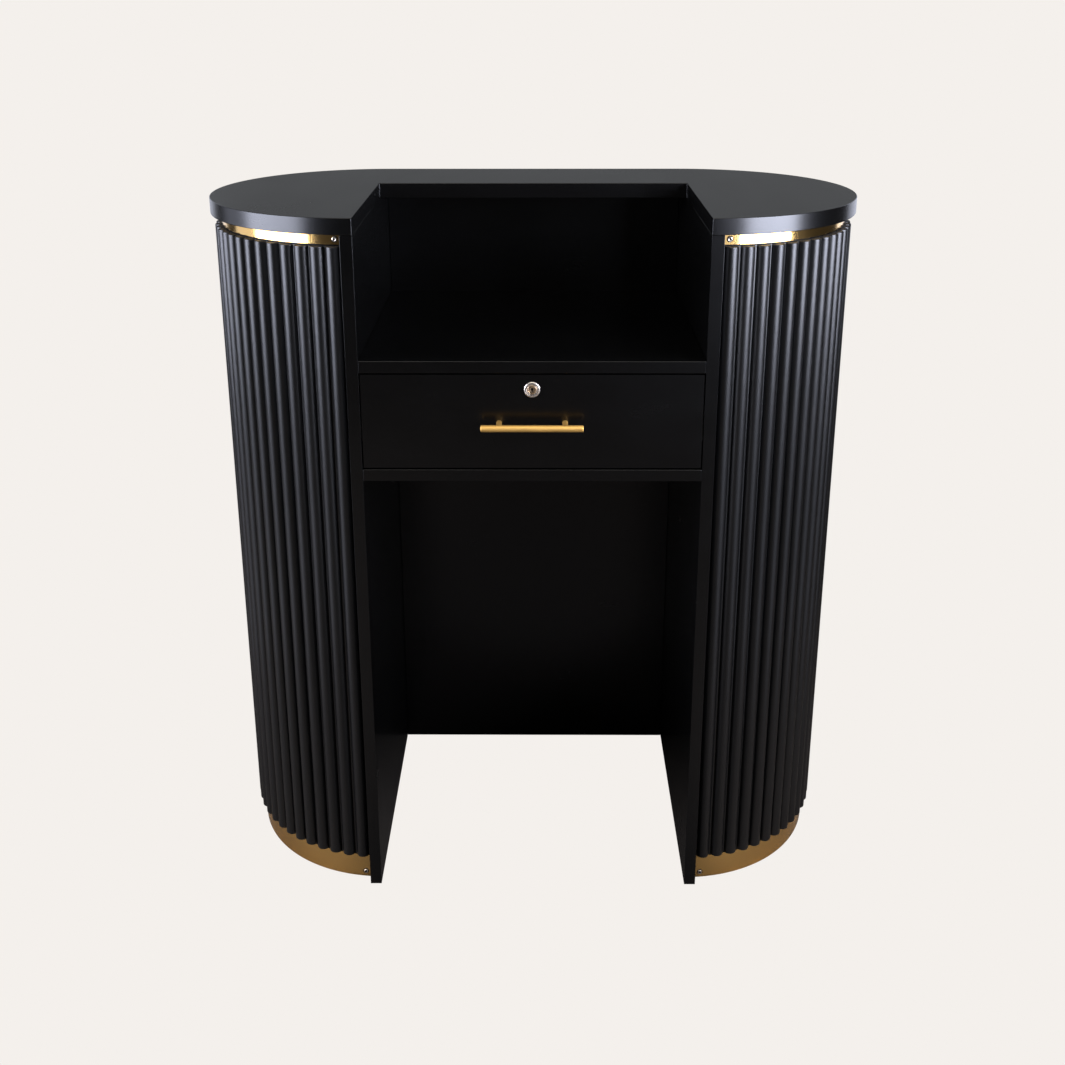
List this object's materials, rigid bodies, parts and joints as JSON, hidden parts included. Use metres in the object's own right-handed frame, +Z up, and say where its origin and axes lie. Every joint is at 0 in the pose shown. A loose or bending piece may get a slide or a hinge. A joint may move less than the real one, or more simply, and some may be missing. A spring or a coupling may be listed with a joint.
{
  "type": "salon service counter",
  "caption": "Free-standing salon service counter on a stadium plan: notched top, open cubby, lockable drawer on slides, knee space and round ends clad in reeds between brass bands.",
  "frame": {"origin": "centre of the footprint at floor level, with the handle's reach counted in the footprint", "axes": "+Z up, +X to the right as the seated user sees it, -Y towards the user's side where the drawer opens, +Y towards the customer"},
  "size_m": [1, 0.531, 1.105],
  "materials": {
    "black_lacquer": "satin black lacquer on fibreboard",
    "black_reeding": "satin black lacquer on half-round reeds",
    "raw_board": "bare fibreboard, hidden inside the round ends",
    "drawer_lining": "matt black melamine",
    "brass_sheet": "polished brass-coloured sheet with a fine grain",
    "satin_brass": "satin brass",
    "chrome": "polished chrome",
    "zinc_steel": "bright zinc-plated steel"
  },
  "bodies": {
    "root": {"back_panel": "black_lacquer", "back_reeding": "black_reeding", "bottom_trim_band": "brass_sheet", "countertop": "black_lacquer", "cubby_shelf": "black_lacquer", "customer_panel": "black_lacquer", "drawer_deck": "black_lacquer", "left_bottom_band_screw": "chrome", "left_end_reeding": "black_reeding", "left_end_shell": "black_lacquer", "left_former_bottom": "raw_board", "left_former_middle": "raw_board", "left_former_top": "raw_board", "left_side_panel": "black_lacquer", "left_slide_outer": "zinc_steel", "left_slide_panel_screw_front": "zinc_steel", "left_slide_panel_screw_rear": "zinc_steel", "left_top_band_screw": "chrome", "right_bottom_band_screw": "chrome", "right_end_reeding": "black_reeding", "right_end_shell": "black_lacquer", "right_former_bottom": "raw_board", "right_former_middle": "raw_board", "right_former_top": "raw_board", "right_side_panel": "black_lacquer", "right_slide_outer": "zinc_steel", "right_slide_panel_screw_front": "zinc_steel", "right_slide_panel_screw_rear": "zinc_steel", "right_top_band_screw": "chrome", "strike_plate": "zinc_steel", "top_trim_band": "brass_sheet"},
    "drawer": {"drawer_back": "drawer_lining", "drawer_bottom": "drawer_lining", "drawer_front": "black_lacquer", "handle_bar": "satin_brass", "left_drawer_side": "drawer_lining", "left_handle_post": "satin_brass", "left_handle_screw": "zinc_steel", "left_lock_case_screw": "zinc_steel", "left_slide_drawer_screw_front": "zinc_steel", "left_slide_drawer_screw_rear": "zinc_steel", "left_slide_inner": "zinc_steel", "lock_barrel": "chrome", "lock_case": "zinc_steel", "right_drawer_side": "drawer_lining", "right_handle_post": "satin_brass", "right_handle_screw": "zinc_steel", "right_lock_case_screw": "zinc_steel", "right_slide_drawer_screw_front": "zinc_steel", "right_slide_drawer_screw_rear": "zinc_steel", "right_slide_inner": "zinc_steel"},
    "left_slide_carrier": {"left_slide_middle": "zinc_steel"},
    "right_slide_carrier": {"right_slide_middle": "zinc_steel"},
    "lock_plug": {"lock_plug": "chrome"},
    "lock_bolt": {"lock_bolt": "chrome"}
  },
  "joints": [
    {"name": "drawer_slide", "type": "slide", "parent": "root", "child": "drawer", "axis": [0, -1, 0], "range_m": [0, 0.345]},
    {"name": "left_slide_extend", "type": "slide", "parent": "root", "child": "left_slide_carrier", "axis": [0, -1, 0], "range_m": [0, 0.1725]},
    {"name": "right_slide_extend", "type": "slide", "parent": "root", "child": "right_slide_carrier", "axis": [0, -1, 0], "range_m": [0, 0.1725]},
    {"name": "lock_turn", "type": "hinge", "parent": "drawer", "child": "lock_plug", "pos_m": [0, -0.2335, 0.857], "axis": [0, -1, 0], "range_deg": [0, 180]},
    {"name": "bolt_lift", "type": "slide", "parent": "drawer", "child": "lock_bolt", "axis": [0, 0, 1], "range_m": [0, 0.01]}
  ],
  "couplings": [
    {"joint": "left_slide_extend", "follows": "drawer_slide", "ratio": 0.5},
    {"joint": "right_slide_extend", "follows": "drawer_slide", "ratio": 0.5},
    {"joint": "bolt_lift", "follows": "lock_turn", "m_per_rad": 0.00318}
  ]
}
